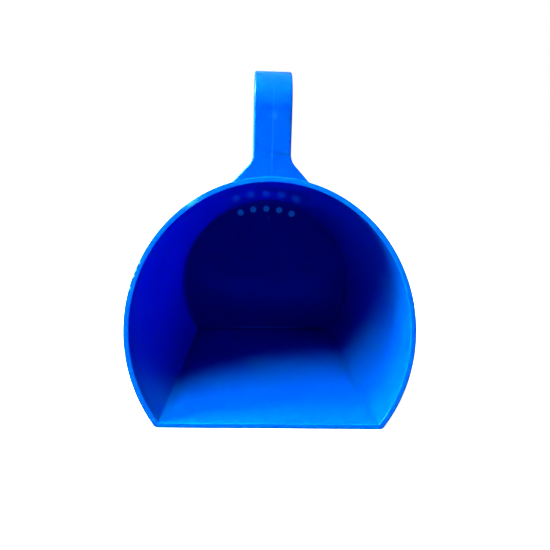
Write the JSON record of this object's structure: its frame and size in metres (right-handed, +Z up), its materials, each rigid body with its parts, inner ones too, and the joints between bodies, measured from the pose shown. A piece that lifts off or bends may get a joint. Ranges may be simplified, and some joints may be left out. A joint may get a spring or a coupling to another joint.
{
  "type": "feed scoop",
  "caption": "Enclosed scoop for animal feed: arched hood on a flat floor, closed back, leaning open mouth with a rim, and a loop handle on the roof.",
  "frame": {"origin": "centre of the scoop's bounding box at its base, on the plane it rests on", "axes": "+X across the scoop, to the right seen from the mouth; +Y from the mouth towards the back wall; +Z up through the handle"},
  "size_m": [0.19, 0.208, 0.23],
  "materials": {
    "blue_plastic": "smooth glossy moulded polypropylene, bright blue all through"
  },
  "bodies": {
    "root": {"floor_panel": "blue_plastic", "hood_shell": "blue_plastic", "back_wall": "blue_plastic", "mouth_rim": "blue_plastic", "handle_front_root": "blue_plastic", "handle_outer_strap": "blue_plastic", "handle_web": "blue_plastic", "handle_inner_strap": "blue_plastic", "handle_ribs": "blue_plastic", "handle_rear_root": "blue_plastic"}
  },
  "joints": []
}
